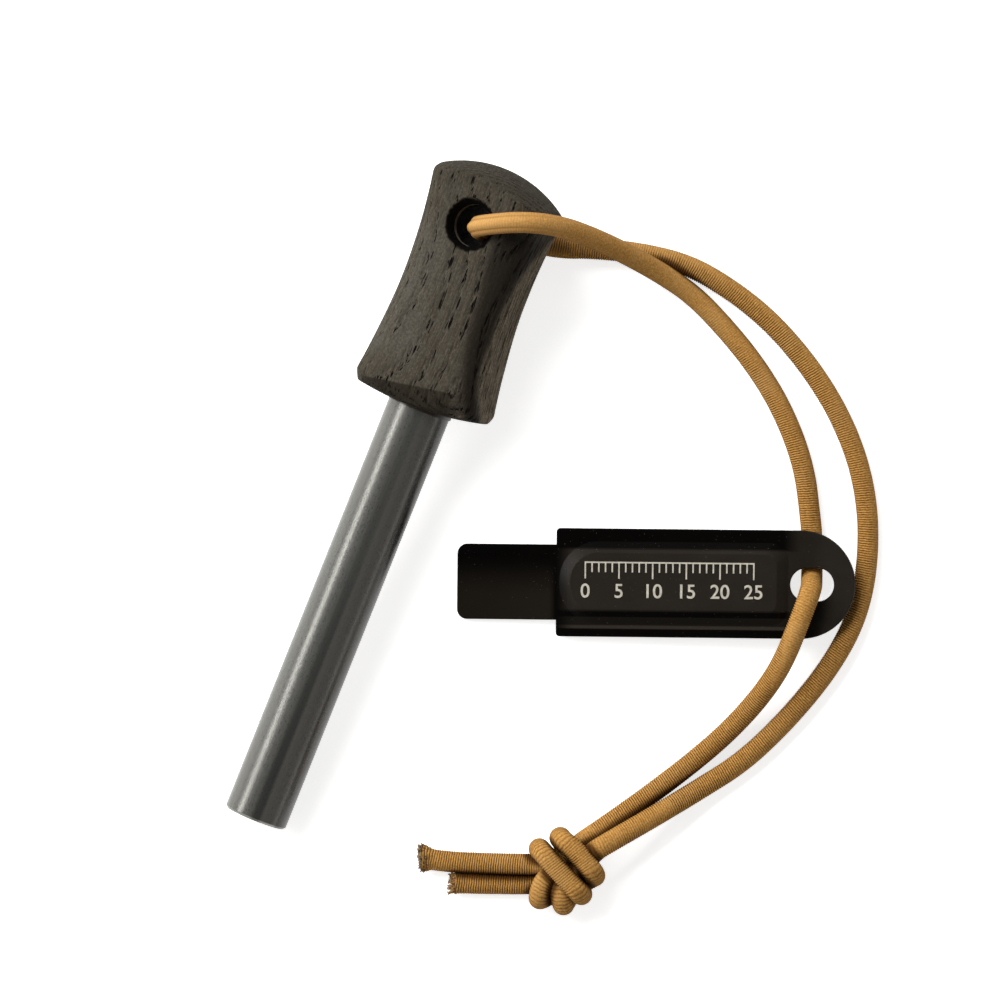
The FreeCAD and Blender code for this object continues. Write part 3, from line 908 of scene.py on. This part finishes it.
def bare_oak_colour(wood, dust, level, past_shadow_band):
    """Oak without its painted shade band: streaks, rings, ash, a brown right side lightened by painted
    floor light, a left flank lightened by painted light, dust, and painted highlights round the pores.
    """
    y, z = wood["at"][1:]
    streak = smooth_step(wood["grain"], 0.30, 0.70)
    late = blend(streak, late_wood_dark, late_wood_light)
    ash = long_noise(wood["at"], 3.5, 9.0, 3.0, 0.55)
    fibres = long_noise(wood["at"], 0.30, 26.0)
    fibrous = times(plus(smooth_step(fibres, 0.34, 0.64), streak), 0.5)
    brown = blend(fibrous, brown_shadow, brown_fibre)
    # Brown right side: the wood's own brown, lighter here as painted light bounced from the floor
    brown_and_floor_light_share = times(smooth_step(past_shadow_band, -0.4, 0.6),
                        smooth_step(z, -7.0, -3.0, 0.3, 1.0))
    # Painted light on the left flank, the side that faces the window
    lit_flank_share = times(smooth_step(level, -6.0, -2.0, 0.26, 0.0),
                       between(y, 9.0, 24.0, 6.0))
    return layered(
        late,
        (times(wood["early"], 0.45), early_wood),
        (smooth_step(ash, 0.40, 0.70, 0.0, 0.5), ash_grey),
        (brown_and_floor_light_share, brown),
        (lit_flank_share, lit_flank_grey),
        (smooth_step(dust, 0.38, 0.60, 0.42, 0.0), dark_fleck),
        (smooth_step(dust, 0.62, 0.76, 0.0, 0.38), pale_fleck),
        # Painted highlights round the pores
        (times(wood["rim"], 0.40), pore_rim_highlight),
    )


def charred_oak_material():
    material, shader, place = new_material("charred_oak")
    wood = oak(place)
    x, y, z = wood["at"]
    level, past_shadow_band, past_front = oak_sides(wood["at"])
    dust = long_noise(wood["at"], 0.30, 0.45, 2.0, 0.6)
    bare = bare_oak_colour(wood, dust, level, past_shadow_band)

    # Painted shade on the right front, below the cross hole: the core shadow beside the face and the cord's
    # shadow
    shadow_band = times(smooth_step(past_front, -1.7, 0.6, 0.0, 0.78),
                  smooth_step(past_shadow_band, -0.7, 0.4, 1.0, 0.0))
    shadow_band = times(shadow_band, smooth_step(y, 28.8, 31.2, 1.0, 0.0))
    shadow_band = times(shadow_band, smooth_step(z, -2.5, 2.0))

    # The burnt dome, painted shade on the lower front facet, and the bore with a painted highlight ring
    # below its countersink
    on_front = times(smooth_step(z, 3.2, 4.4), between(x, -7.6, 6.4, 0.8))
    front_facet = times(smooth_step(wood["in_facet"], -0.05, 0.20), on_front)
    # Painted highlight: a pale ring on the bore's rim below the countersink
    in_ring = between(z, face_at_hole - 2.85, face_at_hole - 2.1, 0.15)
    bored = blend(in_ring, bore_black, bore_rim_highlight)
    colour = layered(
        bare,
        (shadow_band, painted_shadow_black),
        (wood["pore"], pore_black),
        (smooth_step(y, 32.0, 36.5, 0.0, 0.28), dome_char),
        (times(front_facet, 0.72), facet_shade),
        (wood["burnt"], bored),
    )
    rough = smooth_step(wood["grain"], 0.2, 0.8, 0.82, 0.68)
    roughness = plus(rough, times(wood["burnt"], 0.18))
    raised = minus(times(wood["grain"], 0.05), times(wood["pore"], 0.12))
    normal = bump(times(plus(raised, times(dust, 0.02)), mm))
    feed(shader, Base_Color=colour, Roughness=roughness, Normal=normal, Specular_IOR_Level=0.07)
    return material


def carved_handle():
    """The handle's solid with an even skin of small faces, longer along the grain, then its relief."""
    squeeze = Matrix.Diagonal((1.0, carving_squeeze, 1.0, 1.0))
    mesh = frame["nodes"]["handle"].data.copy()
    bm = bmesh.new()
    bm.from_mesh(mesh)
    bmesh.ops.remove_doubles(bm, verts=bm.verts, dist=weld_distance)
    bm.to_mesh(mesh)
    bm.free()
    mesh.transform(squeeze @ handle_place.inverted())
    block = new_object("handle_block", mesh)
    skin = block.modifiers.new("skin", "REMESH")
    skin.mode = "VOXEL"
    skin.voxel_size = carving_voxel
    evaluated = block.evaluated_get(bpy.context.evaluated_depsgraph_get())
    even = bpy.data.meshes.new_from_object(evaluated)
    bpy.data.objects.remove(block)
    even.transform(handle_place @ squeeze.inverted())
    skinned = new_object("handle_skin", even)
    piece = apply_tree(
        skinned, oak_relief_tree(), "charred_handle",
        Pore_Depth=pore_depth, Ring_Depth=ring_depth, Grain_Depth=grain_depth, Burn_Depth=burn_depth,
        Finish=charred_oak_material(),
    )
    bpy.data.objects.remove(skinned)
    return piece


# Rod, glue and striker: finishes for the nodes that the frame carries

dull_rod_dark = rgb(0.098, 0.097, 0.088)
dull_rod_light = rgb(0.142, 0.141, 0.128)
drawn_line = rgb(0.064, 0.062, 0.056)
oxide_bloom = rgb(0.108, 0.098, 0.090)
bright_rod = rgb(0.25, 0.25, 0.235)
# Painted shade and reflection bands along the rod
left_edge_painted_shade = rgb(0.050, 0.050, 0.045)
middle_painted_shade = rgb(0.034, 0.034, 0.031)
warm_painted_reflection = rgb(0.215, 0.198, 0.175)
right_edge_painted_shade = rgb(0.026, 0.025, 0.023)


def ferrocerium_material():
    """Dull grey metal with drawn lines, and lengthwise bands of painted reflection and shade placed by
    their share of the radius.
    """
    material, shader, place = new_material("drawn_ferrocerium")
    at = own_millimetres(place, rod_place)
    x, y, z = at
    drawn = long_noise(at, 0.16, 14.0, 3.0, 0.6)
    mottle = long_noise(at, 0.40, 0.75, 3.0, 0.65)
    bloom = long_noise(at, 2.6, 7.0)
    across = ratio(x, rod_radius)
    dull = blend(smooth_step(mottle, 0.3, 0.7), dull_rod_dark, dull_rod_light)
    painted_dark_middle = times(between(across, -0.04, 0.10, 0.14),
                        smooth_step(y, -62.0, -4.0, 0.66, 0.26))
    colour = layered(
        dull,
        (smooth_step(drawn, 0.35, 0.65, 0.0, 0.6), drawn_line),
        (smooth_step(bloom, 0.45, 0.75, 0.0, 0.40), oxide_bloom),
        (0.48, bright_rod),
        # Painted shade and reflection: bands across the rod that stand in for its reflections
        (smooth_step(across, -0.70, -0.60, 0.30, 0.0), left_edge_painted_shade),
        (painted_dark_middle, middle_painted_shade),
        (times(between(across, 0.24, 0.56, 0.10), 0.55), warm_painted_reflection),
        (times(between(across, 0.72, 0.93, 0.10), 0.80), right_edge_painted_shade),
    )
    roughness = plus(smooth_step(mottle, 0.3, 0.7, 0.24, 0.29), times(bloom, 0.05))
    normal = bump(plus(times(drawn, 0.012 * mm), times(mottle, 0.008 * mm)))
    feed(shader, Base_Color=colour, Roughness=roughness, Normal=normal)
    feed(shader, Metallic=0.70, Specular_IOR_Level=0.4)
    return material


glue_black = rgb(0.012, 0.009, 0.006)
glue_brown = rgb(0.040, 0.028, 0.018)


def glue_material():
    material, shader, place = new_material("dark_glue")
    lumps = noise(place, 1500.0)
    colour = blend(lumps, glue_black, glue_brown)
    normal = bump(times(lumps, 0.05 * mm))
    feed(shader, Base_Color=colour, Roughness=0.35, Normal=normal)
    return material


deep_coat_dark = rgb(0.0010, 0.0008, 0.0007)
deep_coat_light = rgb(0.0024, 0.0019, 0.0016)
soft_coat_dark = rgb(0.0160, 0.0130, 0.0099)
soft_coat_light = rgb(0.0240, 0.0200, 0.0158)
tongue_painted_light = rgb(0.0125, 0.0100, 0.0074)
# Painted reflection and highlight along the panel's lower slope and edge
lower_slope_reflection = rgb(0.0095, 0.0080, 0.0062)
lower_edge_highlight = rgb(0.0300, 0.0250, 0.0195)
coat_dust = rgb(0.22, 0.20, 0.17)


def black_coat_material():
    """A black coat, deep and glossy at the plate's edges and softer on its panel, round end and tongue,
    with painted light on the tongue and a painted reflection and highlight on the panel's lower slope and
    edge.
    """
    material, shader, place = new_material("black_coat")
    at = own_millimetres(place, striker_place)
    x, y, z = at
    peel = long_noise(at, 0.45, 0.45)
    haze = long_noise(at, 5.0, 3.0)
    dust = long_noise(at, 0.20, 0.20, 1.0)
    panel_left = -panel_gap_to_slot_centre - panel_length
    panel_right = -panel_gap_to_slot_centre
    half_panel = panel_width / 2
    in_length = between(x, panel_left + 2.6, 30.0, 3.4)
    in_width = between(y, 2.3 - half_panel, half_panel - 1.4, 0.6)
    round_end = smooth_step(x, panel_right - 1.0, panel_right + 2.0)
    satin = times(in_length, maths("MAXIMUM", in_width, round_end))
    slot_dip = times(between(x, -2.5, -0.5, 3.2), 0.26)
    satin = times(satin, minus(1.0, slot_dip))
    # Painted light on one side of the tongue
    tongue = smooth_step(x, panel_left - 1.6, panel_left - 0.4, 1.0, 0.0)
    lit_tongue = times(tongue, smooth_step(y, -2.5, 4.0, 1.0, 0.0))
    on_panel = times(in_length, minus(1.0, round_end))
    # Painted reflection on the panel's lower slope, and a painted highlight line below it
    lower_slope = times(between(y, -half_panel, 0.9 - half_panel, 0.25), on_panel)
    lower_edge = times(between(y, -half_panel - 0.60, -half_panel - 0.30, 0.22), on_panel)
    deep = blend(haze, deep_coat_dark, deep_coat_light)
    soft = blend(haze, soft_coat_dark, soft_coat_light)
    colour = layered(
        deep,
        (satin, soft),
        (lit_tongue, tongue_painted_light),
        (lower_slope, lower_slope_reflection),
        (lower_edge, lower_edge_highlight),
        (smooth_step(dust, 0.755, 0.79, 0.0, 0.6), coat_dust),
    )
    roughness = smooth_step(satin, 0.0, 1.0, 0.17, 0.32)
    normal = bump(times(peel, 0.012 * mm), 0.6)
    feed(shader, Base_Color=colour, Roughness=roughness, Normal=normal, Specular_IOR_Level=0.12)
    return material


# Striker: the scale printed on its panel

worn_print = rgb(0.46, 0.43, 0.36)
pale_print = rgb(0.60, 0.57, 0.49)


def print_material():
    material, shader, place = new_material("pale_print")
    wear = noise(place, 2200.0, 3.0, 0.6)
    colour = blend(smooth_step(wear, 0.35, 0.65), worn_print, pale_print)
    normal = bump(times(wear, 0.01 * mm))
    feed(shader, Base_Color=colour, Roughness=0.6, Normal=normal)
    return material


def printed_bar(bm, left, right, low, high):
    """Adds a printed bar between four sides in millimetres."""
    corners = ((left, low), (right, low), (right, high), (left, high))
    bottom = [bm.verts.new((u * mm, v * mm, 0)) for u, v in corners]
    top = [bm.verts.new((u * mm, v * mm, print_thickness)) for u, v in corners]
    bm.faces.new(bottom[::-1])
    bm.faces.new(top)
    for this, after in ((0, 1), (1, 2), (2, 3), (3, 0)):
        bm.faces.new((bottom[this], bottom[after], top[after], top[this]))


def printed_line():
    """The scale's line and its ticks."""
    bm = bmesh.new()
    scale_end = scale_start + scale_length
    line_top = scale_line + 2 * scale_half_line
    printed_bar(bm, scale_start - scale_half_line, scale_end + scale_half_line, scale_line, line_top)
    for step in range(scale_length + 1):
        tick = long_tick if step % scale_step == 0 else short_tick
        place = scale_start + step
        printed_bar(bm, place - scale_half_line, place + scale_half_line, scale_line - tick, scale_line)
    mesh = bpy.data.meshes.new("printed_line")
    bm.to_mesh(mesh)
    bm.free()
    return mesh


def printed_number(number):
    """One number in its place under the scale's line."""
    text = bpy.data.curves.new("number", "FONT")
    text.body = str(number)
    text.size = scale_number_size * mm
    text.align_x = "CENTER"
    text.extrude = print_thickness / 2
    text.offset = scale_number_swell
    flat = new_object("number", text)
    letters = bpy.data.meshes.new_from_object(flat)
    bpy.data.objects.remove(flat)
    below = (scale_line - scale_number_gap - scale_number_height) * mm
    letters.transform(Matrix.Translation(((scale_start + number) * mm, below, print_thickness / 2)))
    return letters


def printed_scale():
    """A plain length scale in millimetres, with a line, ticks and numbers, flat on the striker's panel."""
    numbers = range(0, scale_length + 1, scale_step)
    bm = bmesh.new()
    for part in [printed_line()] + [printed_number(number) for number in numbers]:
        bm.from_mesh(part)
    joined = bpy.data.meshes.new("printed_scale")
    bm.to_mesh(joined)
    bm.free()
    joined.transform(striker_place @ Matrix.Translation((0, 0, plate_thickness / 2 + panel_rise)))
    return new_object("printed_scale", joined)


handle = carved_handle()
set_material(frame["nodes"]["ferro_rod"], ferrocerium_material())
set_material(frame["nodes"]["epoxy_bond"], glue_material())
set_material(frame["nodes"]["striker"], black_coat_material())
scale_print = printed_scale()
set_material(scale_print, print_material())


# Stage: floor, light and camera

def floor_material():
    """A pale floor that rays from the camera, gloss and glass see as white."""
    material, shader, _ = new_material("pale_floor")
    feed(shader, Base_Color=rgb(0.90, 0.90, 0.89), Roughness=0.9, Specular_IOR_Level=0.0)
    seen = node(material.node_tree, "ShaderNodeLightPath").outputs
    either = maths("MAXIMUM", seen["Is Camera Ray"], seen["Is Glossy Ray"])
    shown = maths("MAXIMUM", either, seen["Is Transmission Ray"])
    glow = times(shown, floor_glow)
    feed(shader, Emission_Color=rgb(1.0, 0.998, 0.99), Emission_Strength=glow)
    return material


def make_floor():
    mesh = bpy.data.meshes.new("floor")
    bm = bmesh.new()
    bmesh.ops.create_circle(bm, cap_ends=True, segments=64, radius=floor_radius)
    bm.to_mesh(mesh)
    bm.free()
    mesh.materials.append(floor_material())
    return new_object("floor", mesh)


def soft_lamp(name, direction, distance, length, rise, power, colour, in_gloss):
    """A rectangular lamp that faces the origin: its length lies level, and its rise leads up and over."""
    data = bpy.data.lights.new(name, "AREA")
    data.shape = "RECTANGLE"
    data.size = length
    data.size_y = rise
    data.energy = power
    data.color = colour
    lamp = new_object(name, data)
    lamp.location = Vector(direction).normalized() * distance
    lamp.rotation_euler = Vector(direction).to_track_quat("Z", "Y").to_euler()
    lamp.visible_camera = False
    lamp.visible_glossy = in_gloss


def make_world():
    """A pale room, brighter overhead on the left of the picture than on its right."""
    world = bpy.data.worlds.new("pale_room")
    bpy.context.scene.world = world
    world.use_nodes = True
    tree = world.node_tree
    direction = node(tree, "ShaderNodeTexCoord").outputs["Generated"]
    up = node(tree, "ShaderNodeSeparateXYZ", {0: direction}).outputs["Z"]
    left_side = smooth_step(up, 0.35, 0.85, 0.75, 0.08)
    right_side = smooth_step(up, 0.06, 0.30, 0.80, 0.12)
    to_left = smooth_step(dot(direction, left_of_picture), -0.35, 0.35)
    difference = minus(left_side, right_side)
    strength = plus(right_side, times(difference, to_left))
    background = tree.nodes["Background"]
    background.inputs["Color"].default_value = rgb(1.0, 1.0, 1.0)
    tree.links.new(strength, background.inputs["Strength"])


def make_camera():
    """A long lens straight above, turned as the photograph is."""
    data = bpy.data.cameras.new("camera")
    data.lens = lens_length
    data.sensor_width = sensor_width
    distance = picture_width * lens_length / sensor_width
    data.clip_end = distance * 4
    camera = new_object("camera", data)
    camera.location = (*picture_centre, distance)
    camera.rotation_euler = (0, 0, picture_turn)
    bpy.context.scene.camera = camera


floor = make_floor()
soft_lamp("window_left", direction=(-0.58, 0.28, 0.76), distance=1.0, length=0.85, rise=0.38,
          power=9.0, colour=daylight, in_gloss=False)
soft_lamp("window_low", direction=(-0.89, 0.12, 0.44), distance=1.0, length=0.90, rise=0.14,
          power=3.7, colour=daylight, in_gloss=True)
soft_lamp("fill_right", direction=(0.90, -0.20, 0.20), distance=1.2, length=0.8, rise=0.3,
          power=1.0, colour=room_light, in_gloss=False)
make_world()
make_camera()
bpy.context.scene.view_settings.view_transform = "Standard"


# Riding: pieces follow their bodies, and the parts they replace are hidden

for cord in (front_cord, back_cord, front_knot, back_knot, long_tail_end, short_tail_end):
    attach(cord, "lanyard")
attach(handle, "tool")
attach(scale_print, "striker")
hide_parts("handle")
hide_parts("cord_front_sheath", "cord_front_core")
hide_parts("cord_back_sheath", "cord_back_core")
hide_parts("cord_knot", "tail_long_sheath", "tail_long_core")
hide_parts("tail_short_sheath", "tail_short_core")
